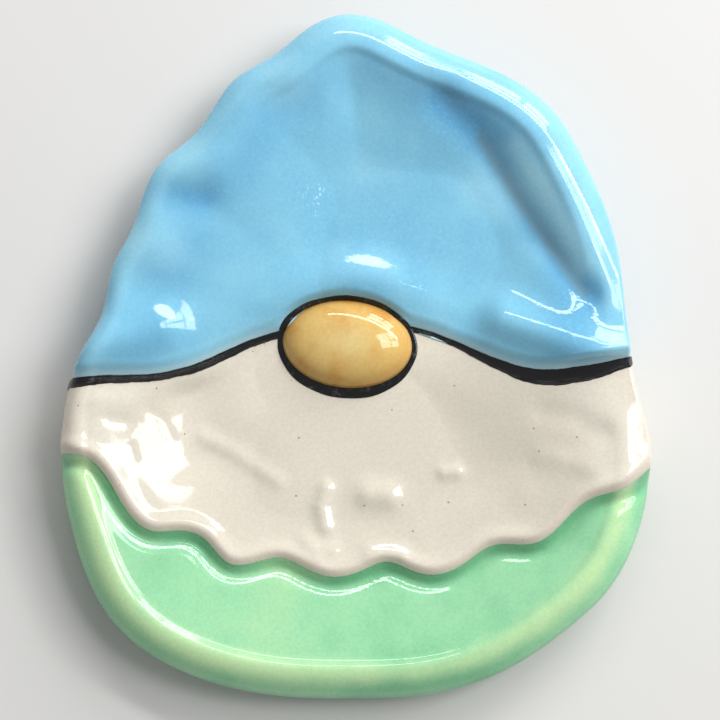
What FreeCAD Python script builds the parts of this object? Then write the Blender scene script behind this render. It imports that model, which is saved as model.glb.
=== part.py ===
import FreeCAD, Part
import os
import Sketcher
from FreeCAD import Rotation, Vector

# A hand-built glazed dish shaped like a gnome's face: a dished base slab, a beard slab and a hat
# slab laid over it, a flattened ball for the nose, and three trailed black lines.
# Frame: +X to the right, +Y towards the hat's tip, +Z up. The origin is on the table, under the
# middle of the outline. All sizes are in millimetres.

os.makedirs("parts", exist_ok=True)
doc = FreeCAD.newDocument("gnome_dish")

# ---------------------------------------------------------------- the sizes
DESIGN_WIDTH = 120.0
DESIGN_LENGTH = 140.0

size_values = [
    ("overall_width", DESIGN_WIDTH),
    ("overall_length", DESIGN_LENGTH),
    ("base_thickness", 5.5),
    ("wall_rise", 7.0),
    ("edge_drop", 3.2),
    ("beard_thickness", 2.0),
    ("hat_thickness", 3.4),
    ("nose_width", 26.6),
    ("nose_depth", 17.6),
    ("nose_rise", 4.6),
    ("nose_sink", 0.8),
    ("nose_turn", -5.0),
    ("line_thickness", 0.4),
    ("nose_line_width", 1.6),
]
sheet = doc.addObject("Spreadsheet::Sheet", "Sizes")
for row, (word, value) in enumerate(size_values, start=1):
    cell = "B%d" % row
    sheet.set("A%d" % row, word)
    sheet.set(cell, "%g" % value)
    sheet.setAlias(cell, word)
doc.recompute()


def size(word):
    return dict(size_values)[word]


# ---------------------------------------------------------------- hand-drawn curves
# Each curve is a list of points that it passes through, in the design size. The poles of the
# spline are then held by constraints, as shares of the overall width and length.

dish_outline = [
    (-3, 70), (4, 69.2), (13, 64.9), (24, 60.4), (34, 55.6), (41, 49.6), (46.5, 40.3), (51, 30.2),
    (54, 18), (55, 6), (57.5, -9), (59.8, -18), (59.6, -28), (57, -38), (51.5, -48), (43, -56),
    (31, -64), (17, -68.8), (0, -70), (-18, -69.2), (-31, -66.2), (-42, -61), (-51, -52.5),
    (-57, -39), (-59.8, -26), (-59.6, -14), (-57, -3), (-51.6, 8.5), (-49.8, 17.5), (-46, 25.4),
    (-43.2, 34), (-40.4, 39), (-33.4, 45), (-29.2, 51), (-25.2, 56.4), (-17, 61.6), (-10, 67.2),
]
beard_edge = [
    (-66, -21), (-59, -20.4), (-54.5, -21.2), (-50.5, -25), (-46, -32.4), (-41.5, -36), (-35.5, -36),
    (-31, -37.6), (-25.5, -42.8), (-21, -42.6), (-15.5, -41.6), (-10.5, -43.6), (-5, -45.4),
    (1, -44.2), (6.5, -42.4), (11, -44), (15.5, -45), (21.5, -43), (28, -39), (36, -38.6),
    (42, -34.2), (47, -29.8), (54, -27.4), (60, -23), (66, -19),
]
hat_edge = [
    (-66, -5.4), (-58, -5.4), (-50, -4.9), (-40, -4.3), (-34, -2.8), (-25, 1.2), (-15, 4.8),
    (-2, 6.6), (10, 5.8), (20, 2.6), (29, -1.4), (37, -3.5), (45, -3.1), (56, -1), (66, 1),
]
left_line_edge = [
    (-66, -7.4), (-58, -7.2), (-50, -6.4), (-40, -5.6), (-33, -4), (-25, -0.4), (-17, 3), (-8, 5),
]
right_line_edge = [
    (6, 5), (13, 4.2), (20, 1.5), (27, -2.4), (35, -6), (42, -6.6), (49, -5.2), (56, -2.8), (66, 0),
]


def share_x(x):
    return "Sizes.overall_width * %.5f" % (x / DESIGN_WIDTH)


def share_y(y):
    return "Sizes.overall_length * %.5f" % (y / DESIGN_LENGTH)


def hold_point(sketch, geometry, end, x, y):
    """Hold one point of the sketch at its share of the overall width and length."""
    first = sketch.ConstraintCount
    sketch.addConstraint(Sketcher.Constraint("DistanceX", -1, 1, geometry, end, x))
    sketch.addConstraint(Sketcher.Constraint("DistanceY", -1, 1, geometry, end, y))
    sketch.setExpression("Constraints[%d]" % first, share_x(x))
    sketch.setExpression("Constraints[%d]" % (first + 1), share_y(y))


def add_spline(sketch, points, closed):
    """Draw a spline through the points and hold each of its poles."""
    curve = Part.BSplineCurve()
    vectors = [Vector(x, y, 0) for x, y in points]
    curve.interpolate(Points=vectors, PeriodicFlag=closed)
    spline = sketch.addGeometry(curve, False)
    sketch.exposeInternalGeometry(spline)
    poles = [i for i, item in enumerate(sketch.Geometry) if isinstance(item, Part.Circle)]
    for pole in poles:
        centre = sketch.Geometry[pole].Center
        hold_point(sketch, pole, 3, centre.x, centre.y)
    return spline


def closed_sketch(name, points):
    """A sketch of one closed spline."""
    sketch = doc.addObject("Sketcher::SketchObject", name)
    add_spline(sketch, points, True)
    return sketch


def field_sketch(name, points, back):
    """A sketch of the field between an open spline and a straight edge at y = back."""
    sketch = doc.addObject("Sketcher::SketchObject", name)
    spline = add_spline(sketch, points, False)
    left, right = points[0], points[-1]
    corners = [
        Vector(left[0], left[1], 0), Vector(left[0], back, 0),
        Vector(right[0], back, 0), Vector(right[0], right[1], 0),
    ]
    sides = []
    for begin, end in zip(corners[:-1], corners[1:]):
        sides.append(sketch.addGeometry(Part.LineSegment(begin, end), False))
    sketch.addConstraint(Sketcher.Constraint("Coincident", sides[0], 1, spline, 1))
    sketch.addConstraint(Sketcher.Constraint("Coincident", sides[0], 2, sides[1], 1))
    sketch.addConstraint(Sketcher.Constraint("Coincident", sides[1], 2, sides[2], 1))
    sketch.addConstraint(Sketcher.Constraint("Coincident", sides[2], 2, spline, 2))
    hold_point(sketch, sides[1], 1, left[0], back)
    hold_point(sketch, sides[1], 2, right[0], back)
    return sketch


def prism(name, sketch):
    """Extrude a sketch upwards, well past the top of the dish."""
    solid = doc.addObject("Part::Extrusion", name)
    solid.Base = sketch
    solid.DirMode = "Custom"
    solid.Dir = Vector(0, 0, 1)
    solid.Solid = True
    solid.Placement.Base = Vector(0, 0, -10)
    solid.LengthFwd = 60
    return solid


outline_sketch = closed_sketch("outline_sketch", dish_outline)
beard_sketch = field_sketch("beard_sketch", beard_edge, 11)
hat_sketch = field_sketch("hat_sketch", hat_edge, 80)
left_line_sketch = field_sketch("left_line_sketch", left_line_edge, 14)
right_line_sketch = field_sketch("right_line_sketch", right_line_edge, 14)

outline_prism = prism("outline_prism", outline_sketch)
beard_prism = prism("beard_prism", beard_sketch)
hat_prism = prism("hat_prism", hat_sketch)
left_line_prism = prism("left_line_prism", left_line_sketch)
right_line_prism = prism("right_line_prism", right_line_sketch)

# ---------------------------------------------------------------- the dish's skins
# A skin is a loft through copies of the outline, each shrunk about the origin and raised. Rings
# are (share of the outline, height). An upper skin runs from the flat floor up the inner wall,
# over the rounded rim and down past the outline, to a cap below the table.

FLOOR = "Sizes.base_thickness"
CREST = "Sizes.base_thickness + Sizes.wall_rise"

upper_rings = [
    (0.780, FLOOR),
    (0.815, FLOOR + " + Sizes.wall_rise * 0.04"),
    (0.850, FLOOR + " + Sizes.wall_rise * 0.25"),
    (0.885, FLOOR + " + Sizes.wall_rise * 0.68"),
    (0.910, FLOOR + " + Sizes.wall_rise * 0.92"),
    (0.935, CREST),
    (0.962, CREST + " - Sizes.edge_drop * 0.22"),
    (0.985, CREST + " - Sizes.edge_drop * 0.60"),
    (1.004, CREST + " - Sizes.edge_drop * 1.10"),
    (1.022, CREST + " - Sizes.edge_drop * 2.00"),
    (1.035, CREST + " - Sizes.edge_drop * 3.00"),
    (1.045, CREST + " - Sizes.edge_drop * 4.00"),
    (1.052, CREST + " - Sizes.edge_drop * 5.00"),
]
under_rings = [
    (0.780, "0"),
    (0.830, "Sizes.wall_rise * 0.06"),
    (0.880, "Sizes.wall_rise * 0.26"),
    (0.925, "Sizes.wall_rise * 0.55"),
    (0.965, "Sizes.wall_rise * 0.84"),
    (1.000, "Sizes.wall_rise * 1.10"),
    (1.035, "Sizes.wall_rise * 1.45"),
    (1.070, "Sizes.wall_rise * 1.90"),
    (1.105, "Sizes.wall_rise * 2.40"),
]


def skin(name, rings, lift):
    """Loft a skin through its rings, with every height raised by the lift."""
    sections = []
    for number, (share, height) in enumerate(rings):
        ring = doc.addObject("Part::Scale", "%s_ring_%d" % (name, number))
        ring.Base = outline_sketch
        ring.Uniform = False
        ring.XScale = share
        ring.YScale = share
        ring.ZScale = 1.0
        ring.setExpression("Placement.Base.z", height + lift)
        sections.append(ring)
    loft = doc.addObject("Part::Loft", name)
    loft.Sections = sections
    loft.Solid = True
    loft.Ruled = False
    loft.MaxDegree = 3
    return loft


underside = skin("underside", under_rings, "")
base_skin = skin("base_skin", upper_rings, "")
beard_skin = skin("beard_skin", upper_rings, " + Sizes.beard_thickness")
hat_skin = skin("hat_skin", upper_rings, " + Sizes.hat_thickness")
beard_line_skin = skin(
    "beard_line_skin", upper_rings, " + Sizes.beard_thickness + Sizes.line_thickness")
hat_line_skin = skin(
    "hat_line_skin", upper_rings, " + Sizes.hat_thickness + Sizes.line_thickness")


def common(name, base, tool):
    result = doc.addObject("Part::MultiCommon", name)
    result.Shapes = [base, tool]
    result.Refine = False
    return result


def cut(name, base, tool):
    result = doc.addObject("Part::Cut", name)
    result.Base = base
    result.Tool = tool
    result.Refine = False
    return result


# ---------------------------------------------------------------- base slab
# The dished slab of clay that everything else is laid on, with a foot that rests on the table.

base_stock = common("base_stock", underside, base_skin)
base_slab = common("base_slab", base_stock, outline_prism)

# ---------------------------------------------------------------- beard slab
# A thinner slab over the middle of the dish. Its front edge is scalloped; its back edge is cut
# straight and lies under the hat.

beard_footprint = common("beard_footprint", outline_prism, beard_prism)
beard_stock = common("beard_stock", beard_skin, beard_footprint)
beard_slab = cut("beard_slab", beard_stock, base_skin)

# ---------------------------------------------------------------- hat slab
# It covers the rest of the dish and laps over the beard's back edge, so it is thicker than the
# beard where it lies on the base.

hat_footprint = common("hat_footprint", outline_prism, hat_prism)
hat_stock = common("hat_stock", hat_skin, hat_footprint)
hat_over_base = cut("hat_over_base", hat_stock, base_skin)
hat_slab = cut("hat_slab", hat_over_base, beard_slab)

# ---------------------------------------------------------------- nose
# A flattened ball pressed onto the seam of hat and beard. Its widest section lies just under the
# beard's top, so its sides rise steeply from the slabs.

NOSE_X = share_x(-1.8)
NOSE_Y = share_y(2.2)
NOSE_LEVEL = "Sizes.base_thickness + Sizes.beard_thickness - Sizes.nose_sink"
NOSE_TOP = "Sizes.base_thickness + Sizes.hat_thickness + Sizes.nose_rise"


def on_nose(item, height):
    """Put an object on the nose's centre and turn it with the nose."""
    item.Placement.Rotation = Rotation(Vector(0, 0, 1), size("nose_turn"))
    item.setExpression("Placement.Rotation.Angle", "Sizes.nose_turn")
    item.setExpression("Placement.Base.x", NOSE_X)
    item.setExpression("Placement.Base.y", NOSE_Y)
    item.setExpression("Placement.Base.z", height)


nose_ball = doc.addObject("Part::Ellipsoid", "nose_ball")
nose_ball.setExpression("Radius1", "%s - (%s)" % (NOSE_TOP, NOSE_LEVEL))
nose_ball.setExpression("Radius2", "Sizes.nose_width / 2")
nose_ball.setExpression("Radius3", "Sizes.nose_depth / 2")
on_nose(nose_ball, NOSE_LEVEL)

nose_on_beard = cut("nose_on_beard", nose_ball, beard_skin)
nose = cut("nose", nose_on_beard, hat_slab)

# ---------------------------------------------------------------- nose line
# A trailed line of black slip around the nose. It lies on the beard below and on the hat above,
# and runs down the hat's edge where it crosses from one to the other.

ring_ellipse = doc.addObject("Part::Ellipse", "ring_ellipse")
ring_ellipse.setExpression("MajorRadius", "Sizes.nose_width / 2 + Sizes.nose_line_width")
ring_ellipse.setExpression("MinorRadius", "Sizes.nose_depth / 2 + Sizes.nose_line_width")
on_nose(ring_ellipse, "0")
ring_prism = prism("ring_prism", ring_ellipse)

hat_edge_prism = prism("hat_edge_prism", hat_sketch)
hat_edge_prism.setExpression("Placement.Base.y", "-Sizes.line_thickness * 2")

low_ring = common("low_ring", ring_prism, beard_line_skin)
high_ring_footprint = common("high_ring_footprint", ring_prism, hat_edge_prism)
high_ring = common("high_ring", high_ring_footprint, hat_line_skin)
ring_stock = doc.addObject("Part::MultiFuse", "ring_stock")
ring_stock.Shapes = [low_ring, high_ring]
ring_on_beard = cut("ring_on_beard", ring_stock, beard_skin)
ring_on_hat = cut("ring_on_hat", ring_on_beard, hat_slab)
nose_line = cut("nose_line", ring_on_hat, nose_ball)

# ---------------------------------------------------------------- brim lines
# Two trailed lines of black slip in the corner where the hat's edge stands on the beard. Each
# runs from the nose line out to the rim.


def brim_line(name, line_prism):
    footprint = common(name + "_footprint", outline_prism, line_prism)
    stock = common(name + "_stock", beard_line_skin, footprint)
    on_beard = cut(name + "_on_beard", stock, beard_skin)
    by_hat = cut(name + "_by_hat", on_beard, hat_slab)
    return cut(name, by_hat, ring_prism)


brim_line_left = brim_line("brim_line_left", left_line_prism)
brim_line_right = brim_line("brim_line_right", right_line_prism)

# ---------------------------------------------------------------- checks and export
doc.recompute()
pieces = [base_slab, beard_slab, hat_slab, nose, nose_line, brim_line_left, brim_line_right]
for item in doc.Objects:
    if "Invalid" in item.State or "Error" in item.State:
        raise RuntimeError("%s has state %s" % (item.Label, item.State))
for piece in pieces:
    if piece.Shape.isNull() or not piece.Shape.isValid():
        raise RuntimeError("%s has no valid shape" % piece.Label)
    if not piece.Shape.Solids:
        raise RuntimeError("%s holds no solid" % piece.Label)
    piece.Shape.exportStep(os.path.join("parts", piece.Label + ".step"))
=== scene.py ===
import math

import bpy
import numpy as np
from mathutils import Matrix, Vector


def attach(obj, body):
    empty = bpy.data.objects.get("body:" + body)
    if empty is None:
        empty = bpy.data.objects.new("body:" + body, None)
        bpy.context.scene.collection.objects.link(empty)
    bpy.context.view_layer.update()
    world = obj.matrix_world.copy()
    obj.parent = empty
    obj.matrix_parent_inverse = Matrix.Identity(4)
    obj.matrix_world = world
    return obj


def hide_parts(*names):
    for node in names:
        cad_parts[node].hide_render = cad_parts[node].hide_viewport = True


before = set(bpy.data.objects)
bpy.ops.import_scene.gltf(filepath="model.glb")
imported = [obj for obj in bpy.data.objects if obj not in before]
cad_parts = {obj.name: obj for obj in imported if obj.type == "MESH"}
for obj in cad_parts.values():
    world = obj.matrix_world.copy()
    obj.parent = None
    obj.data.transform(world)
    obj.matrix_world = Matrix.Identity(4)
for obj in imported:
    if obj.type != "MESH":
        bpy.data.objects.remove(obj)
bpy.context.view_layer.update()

# ---------------------------------------------------------------- base slab
# The dished slab that everything else is laid on: white clay rolled out, cut to the gnome's
# outline and let down over a low form, so that its edge stands up as a soft rim. Its foot is left
# bare. The front is glazed green, and the sides take the glaze of the slab above them.

# The shapes are worked out in millimetres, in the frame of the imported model.
MM = 0.001
TABLE_TO_FLOOR = 5.5
EDGE_INSET, EDGE_DROP = 0.6, 2.0


def curve_through(points, count, closed=False):
    """Points along a smooth curve through the given ones. It is a cubic spline by chord length,
    whose second derivatives m solve h0*m0 + 2*(h0 + h1)*m1 + h1*m2 = 6*(slope1 - slope0)."""
    p = np.array(points, float)
    if closed:
        p = np.vstack([p, p[:1]])
    h = np.hypot(*np.diff(p, axis=0).T)
    slope = np.diff(p, axis=0) / h[:, None]
    n = len(h)
    knots = np.concatenate([[0.0], np.cumsum(h)])
    if closed:
        i = np.arange(n)
        before = np.roll(h, 1)
        a = np.diag(2 * (before + h))
        a[i, (i + 1) % n] += h
        a[i, (i - 1) % n] += before
        m = np.linalg.solve(a, 6 * (slope - np.roll(slope, 1, axis=0)))
        m = np.vstack([m, m[:1]])
        s = np.arange(count) * knots[-1] / count
    else:
        i = np.arange(1, n)
        a = np.eye(n + 1)
        a[i, i - 1], a[i, i], a[i, i + 1] = h[:-1], 2 * (h[:-1] + h[1:]), h[1:]
        turn = np.zeros((n + 1, 2))
        turn[1:-1] = 6 * np.diff(slope, axis=0)
        m = np.linalg.solve(a, turn)
        s = np.linspace(0, knots[-1], count)
    k = np.clip(np.searchsorted(knots, s, side="right") - 1, 0, n - 1)
    t, hk = (s - knots[k])[:, None], h[k][:, None]
    straight = slope[k] - hk * (2 * m[k] + m[k + 1]) / 6
    return p[k] + t * straight + t**2 * m[k] / 2 + t**3 * (m[k + 1] - m[k]) / (6 * hk)


outline_points = [
    (-3, 70), (4, 69.2), (13, 64.9), (24, 60.4), (34, 55.6), (41, 49.6), (46.5, 40.3), (51, 30.2),
    (54, 18), (55, 6), (57.5, -9), (59.8, -18), (59.6, -28), (57, -38), (51.5, -48), (43, -56),
    (31, -64), (17, -68.8), (0, -70), (-18, -69.2), (-31, -66.2), (-42, -61), (-51, -52.5),
    (-57, -39), (-59.8, -26), (-59.6, -14), (-57, -3), (-51.6, 8.5), (-49.8, 17.5), (-46, 25.4),
    (-43.2, 34), (-40.4, 39), (-33.4, 45), (-29.2, 51), (-25.2, 56.4), (-17, 61.6), (-10, 67.2),
]
beard_edge_points = [
    (-66, -21), (-59, -20.4), (-54.5, -21.2), (-50.5, -25), (-46, -32.4), (-41.5, -36),
    (-35.5, -36), (-31, -37.6), (-25.5, -42.8), (-21, -42.6), (-15.5, -41.6), (-10.5, -43.6),
    (-5, -45.4), (1, -44.2), (6.5, -42.4), (11, -44), (15.5, -45), (21.5, -43), (28, -39),
    (36, -38.6), (42, -34.2), (47, -29.8), (54, -27.4), (60, -23), (66, -19),
]
hat_edge_points = [
    (-66, -5.4), (-58, -5.4), (-50, -4.9), (-40, -4.3), (-34, -2.8), (-25, 1.2), (-15, 4.8),
    (-2, 6.6), (10, 5.8), (20, 2.6), (29, -1.4), (37, -3.5), (45, -3.1), (56, -1), (66, 1),
]
outline = curve_through(outline_points[::-1], 1800, closed=True)
outline = np.roll(outline, -np.argmin(outline[:, 1]), axis=0)
beard_edge = curve_through(beard_edge_points, 700)
hat_edge = curve_through(hat_edge_points, 500)

# The distances from the three lines are kept on a flat grid of cells, larger than the dish.
CELL, SOFT_CELLS = 0.4, 1.8
cell_x = np.arange(-72, 72 + CELL, CELL)
cell_y = np.arange(-82, 82 + CELL, CELL)
mesh_x, mesh_y = np.meshgrid(cell_x, cell_y)


def blur_weights(width):
    """The weights of a Gaussian blur, exp(-(step / width)^2 / 2) out to three widths each way, made
    to sum to 1, after the steps that they belong to."""
    reach = int(3 * width + 1)
    steps = np.arange(-reach, reach + 1)
    weights = np.exp(-0.5 * (steps / width) ** 2)
    return steps, weights / weights.sum()


def soften(field, width):
    """A Gaussian blur, its width in cells: a weighted sum of shifted copies, one way at a time."""
    steps, weights = blur_weights(width)
    reach = steps[-1]
    for axis in (0, 1):
        length = field.shape[axis]
        wide = np.pad(field, [(reach, reach) if a == axis else (0, 0) for a in (0, 1)], mode="edge")
        field = sum(
            w * np.take(wide, np.arange(i, i + length), axis=axis) for i, w in enumerate(weights))
    return field


def square_to_line(x, y, points):
    """Square of the distance from each place to a bent line. It is the least over the line's
    segments, from the place's foot on each, held between the segment's ends."""
    nearest = np.full(np.shape(x), 1e9)
    for (x0, y0), (x1, y1) in zip(points[:-1], points[1:]):
        dx, dy = x1 - x0, y1 - y0
        along = np.clip(((x - x0) * dx + (y - y0) * dy) / (dx * dx + dy * dy), 0, 1)
        nearest = np.minimum(nearest, (x - x0 - along * dx) ** 2 + (y - y0 - along * dy) ** 2)
    return nearest


def distance_field(line, inside):
    """Distance from each cell to a line, negative where inside is false, and softened a little."""
    distance = np.sqrt(square_to_line(mesh_x, mesh_y, line))
    return soften(np.where(inside, 1.0, -1.0) * distance, SOFT_CELLS)


def y_of(line, x):
    """The y of a line that runs from left to right, read off in a straight line between points."""
    return np.interp(x, line[:, 0], line[:, 1])


def radius_of_outline(angle):
    """How far the outline is from the origin in each direction."""
    a = np.arctan2(outline[:, 1], outline[:, 0])
    order = np.argsort(a)
    return np.interp(angle, a[order], np.hypot(*outline[order].T), period=2 * np.pi)


closed_outline = np.vstack([outline[::5], outline[:1]])
inside_outline = np.hypot(mesh_x, mesh_y) < radius_of_outline(np.arctan2(mesh_y, mesh_x))
from_outline = distance_field(closed_outline, inside_outline)
from_beard_edge = distance_field(beard_edge[::2], mesh_y > y_of(beard_edge, mesh_x))
from_hat_edge = distance_field(hat_edge[::2], mesh_y > y_of(hat_edge, mesh_x))


def spline_weights(f):
    """The four cubic B-spline weights at the fraction f of a cell: (1 - f)^3 / 6,
    (3f^3 - 6f^2 + 4) / 6, (-3f^3 + 3f^2 + 3f + 1) / 6 and f^3 / 6."""
    return ((1 - f) ** 3 / 6, (3 * f**3 - 6 * f**2 + 4) / 6,
            (-3 * f**3 + 3 * f**2 + 3 * f + 1) / 6, f**3 / 6)


def read_field(field, x, y):
    """A field at any point, by the cubic B-spline weights of the four nearest cells each way."""
    u, v = (x - cell_x[0]) / CELL, (y - cell_y[0]) / CELL
    i = np.clip(np.floor(u).astype(int), 1, len(cell_x) - 3)
    j = np.clip(np.floor(v).astype(int), 1, len(cell_y) - 3)
    total = 0.0
    for b, wb in enumerate(spline_weights(v - j)):
        for a, wa in enumerate(spline_weights(u - i)):
            total = total + wa * wb * field[j + b - 1, i + a - 1]
    return total


def ease(t):
    """0 to 1 with no corner at either end: 6t^5 - 15t^4 + 10t^3."""
    t = np.clip(t, 0, 1)
    return t**3 * (t * (6 * t - 15) + 10)


def fold(x, y, points, width, height):
    """A soft ridge or groove along a bent line: height * exp(-(distance / width)^2)."""
    return height * np.exp(-square_to_line(x, y, points) / width**2)


def all_folds(x, y, folds):
    """The sum of several folds, each given as its points, width and height."""
    return sum(fold(x, y, *f) for f in folds)


def round_the_rim(values):
    """A value that changes smoothly with direction: read off between the given bearings, in
    degrees from the right, then blurred along the full turn by a Gaussian of 7.5 degrees."""
    fine = np.arange(-180, 180, 0.1)
    bearings = sorted(values)
    plain = np.interp(fine, bearings, [values[b] for b in bearings], period=360)
    steps = np.arange(len(fine))
    spread = np.exp(-0.5 * (np.minimum(steps, len(fine) - steps) / 75) ** 2)
    eased = np.fft.ifft(np.fft.fft(plain) * np.fft.fft(spread / spread.sum())).real
    return lambda x, y: np.interp(np.degrees(np.arctan2(y, x)), fine, eased, period=360)


# The rim is not the same all round. Each table goes by bearing: how far in its crest lies, how
# far it falls outside, the bead just inside it, and how the bowl's side reaches, bends and rises.
crest_in_at = round_the_rim({
    90: 7.2, 60: 7.3, 30: 6.9, 5: 6.0, -18: 6.2, -35: 6.6, -60: 6.4, -90: 6.2, -120: 6.4, -145: 6.4,
    -165: 3.2, 178: 2.8, 155: 4.5, 130: 6.5, 110: 7.0})
outer_fall_at = round_the_rim({
    90: 3.8, 60: 4.1, 30: 3.6, 12: 1.2, 5: 0.1, -4: -0.4, -12: -0.2, -21: 3.6, -35: 3.6, -90: 4.0,
    -145: 3.8, -165: 2.2, 178: 2.0, 155: 2.2, 130: 2.6, 110: 3.0})
bead_at = round_the_rim({
    90: 0.5, 60: 0.4, 30: 0.2, 5: 0.0, -22: 0.0, -38: 0.6, -60: 0.9, -145: 0.9, -165: 0.2, 178: 0.1,
    155: 0.0, 130: 0.0, 110: 0.2})
bowl_reach_at = round_the_rim({
    90: 22, 60: 16, 30: 16, 5: 42, -18: 42, -35: 34, -60: 30, -120: 30, -140: 35, -165: 30, 178: 29,
    155: 40, 130: 40, 110: 30})
bowl_bend_at = round_the_rim({
    -60: 1.5, -125: 1.4, -145: 1.15, -165: 1.05, 178: 1.15, 155: 1.25, 120: 1.4, 60: 1.4, 0: 1.8})
crest_ease_at = round_the_rim({
    60: 0.06, 30: 0.1, 5: 0.3, -18: 0.35, -40: 0.12, -90: 0.06, 150: 0.06})
bowl_rise_at = round_the_rim({
    90: 6.0, 60: 5.8, 30: 5.6, 5: 5.4, -18: 6.0, -90: 6.1, -165: 6.9, 178: 6.2, 155: 5.2, 130: 5.0,
    110: 5.4})

# Folds and dents left by fingers: a bent line, its width, and its height, below 0 for a groove.
BEAD_WIDTH, FADE_WIDTH = 2.3, 6
hat_valley = ((18, 51.5), (23, 47), (27.5, 41.5), (32.5, 32.5), (37.5, 25), (43, 17.5), (47, 11.5))
hand_folds = [
    (hat_valley, 3.6, -1.3), (((-27, 57), (-12, 50)), 5.0, -0.5),
    (((-40, 41), (-30, 39)), 5.0, 0.5), (((-48, 32.5), (-31, 31)), 3.8, -0.75),
    (((-50, 23.5), (-40, 22)), 4.5, 0.45),
    (((-52, 15), (-42, 13)), 4.0, -0.4), (((-22, 60), (-14, 57)), 4.0, 0.3),
    (((-6, 47), (12, 42)), 8.0, 0.5), (((39, 22), (47, 11.5)), 2.6, -0.5),
]
hollow_below_hat = (((-33.5, -11), (-32.5, -20)), 9.2, -1.75)


def base_height(x, y):
    """Height of the dish's rim and bowl, by the distance d in from the outline. Outside the crest
    it falls as ((crest - d) / crest)^2. Inside it steps down over the bead, and then falls by
    1 - (1 - q)^bend of the bowl's rise, with q = t^2 * (1 + k) / (t + k) for t from 0 at the crest
    to 1 at the bowl's reach, where k eases the crest. The folds are added, faded out over the rim,
    and then a slow unevenness of the floor, sin(x) * sin(y)."""
    d = read_field(from_outline, x, y)
    crest_in, bead = crest_in_at(x, y), bead_at(x, y)
    outer = np.clip((crest_in - d) / crest_in, 0, 1) ** 2
    t = np.clip((d - crest_in) / bowl_reach_at(x, y), 0, 1)
    k = crest_ease_at(x, y)
    q = t**2 * (1 + k) / (t + k)
    bowl = 1 - (1 - q) ** bowl_bend_at(x, y)
    z = (TABLE_TO_FLOOR + bead + bowl_rise_at(x, y) - outer_fall_at(x, y) * outer
         - bead * ease((d - crest_in) / BEAD_WIDTH) - bowl_rise_at(x, y) * bowl)
    inland = ease((d - 1.0) / FADE_WIDTH)
    below_hat = ease(-read_field(from_hat_edge, x, y) / FADE_WIDTH)
    folds = all_folds(x, y, hand_folds) + below_hat * fold(x, y, *hollow_below_hat)
    z = z + inland * folds
    return z + 0.15 * bowl * np.sin(x / 9.1 + 1.3) * np.sin(y / 11.7 + 0.4)


COVE_HEIGHT, COVE_WIDTH = 1.25, 2.2
GROOVE_DEPTH, GROOVE_WIDTH = 0.68, 1.4


def base_top(x, y):
    """The base slab's top. At the beard's edge the clay and glaze are worked up into a cove, which
    falls as (1 - out / width)^2.5 into a shallow groove, exp(-((out - cove's width) / width)^2).
    Below the beard it is lower by 0.1 mm."""
    out = -read_field(from_beard_edge, x, y)
    cove = COVE_HEIGHT * (1 - np.clip(out / COVE_WIDTH, 0, 1)) ** 2.5 * ease((out + 1.5) / 1.2)
    groove = GROOVE_DEPTH * np.exp(-(((out - COVE_WIDTH) / GROOVE_WIDTH) ** 2))
    return base_height(x, y) + cove - groove - 0.1 * ease((-out - 0.6) / 1.0)


def resample(line, weights, count):
    """Points spaced evenly along a closed line, where weights stretch or shrink its length."""
    ahead = np.roll(line, -1, axis=0)
    step = np.hypot(*(ahead - line).T) * weights
    s = np.concatenate([[0.0], np.cumsum(step)])
    at = np.arange(count) * s[-1] / count
    wrapped = np.vstack([line, line[:1]])
    return np.stack([np.interp(at, s, wrapped[:, c]) for c in (0, 1)], axis=1)


def outward(line, width=1.5):
    """Unit normals of an anticlockwise closed line: its tangent (tx, ty) turned to (ty, -tx), and
    eased over a few of its points by a Gaussian blur."""
    tangent = np.roll(line, -1, axis=0) - np.roll(line, 1, axis=0)
    normal = np.stack([tangent[:, 1], -tangent[:, 0]], axis=1)
    normal /= np.hypot(*normal.T)[:, None]
    normal = sum(w * np.roll(normal, s, axis=0) for s, w in zip(*blur_weights(width)))
    return normal / np.hypot(*normal.T)[:, None]


def make_piece(name, points, quads, triangles=(), attributes=None):
    """A smooth piece from points in millimetres. Its faces are turned outward, by the sign of the
    volume below its quads a, b, c, d: the sum of a.(b x c) + a.(c x d). attributes maps a name to
    one value for each point."""
    points = points * MM
    a, b, c, d = (points[quads[:, k]] for k in range(4))
    volume = np.einsum("ij,ij->", a, np.cross(b, c)) + np.einsum("ij,ij->", a, np.cross(c, d))
    order = slice(None, None, 1 if volume > 0 else -1)
    faces = [f for part in (quads, *triangles) for f in part[:, order].tolist()]
    mesh = bpy.data.meshes.new(name)
    mesh.from_pydata(points.tolist(), [], faces)
    mesh.shade_smooth()
    for key, values in (attributes or {}).items():
        layer = mesh.attributes.new(key, "FLOAT", "POINT")
        layer.data.foreach_set("value", values.astype(np.float32))
    piece = bpy.data.objects.new(name, mesh)
    bpy.context.scene.collection.objects.link(piece)
    return piece


def shell(name, rows, looks):
    """A closed piece from rows of points, each row a closed ring. The first and last rows are
    poles, each a single point. looks maps a name to one value for each point of the rows."""
    def without_repeats(grid):
        """The grid's points in a row, with each pole once."""
        return np.concatenate([grid[0, :1], grid[1:-1].reshape(-1, *grid.shape[2:]), grid[-1, :1]])

    count, around = rows.shape[:2]
    points = without_repeats(rows)
    ring = 1 + np.arange(count - 2)[:, None] * around + np.arange(around)[None, :]
    beside = np.roll(ring, -1, axis=1)
    quads = np.stack([ring[:-1], beside[:-1], beside[1:], ring[1:]], axis=-1).reshape(-1, 4)
    last = len(points) - 1
    first_fan = np.stack([np.zeros(around, int), beside[0], ring[0]], axis=-1)
    last_fan = np.stack([np.full(around, last), ring[-1], beside[-1]], axis=-1)
    flat = {key: without_repeats(values) for key, values in looks.items()}
    return make_piece(name, points, quads, (first_fan, last_fan), flat)


def ring_rows(boundary, centre, shares):
    """Rings between a centre and a closed boundary, at the given shares of the way out."""
    return centre + shares[:, None, None] * (boundary[None] - centre)


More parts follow.
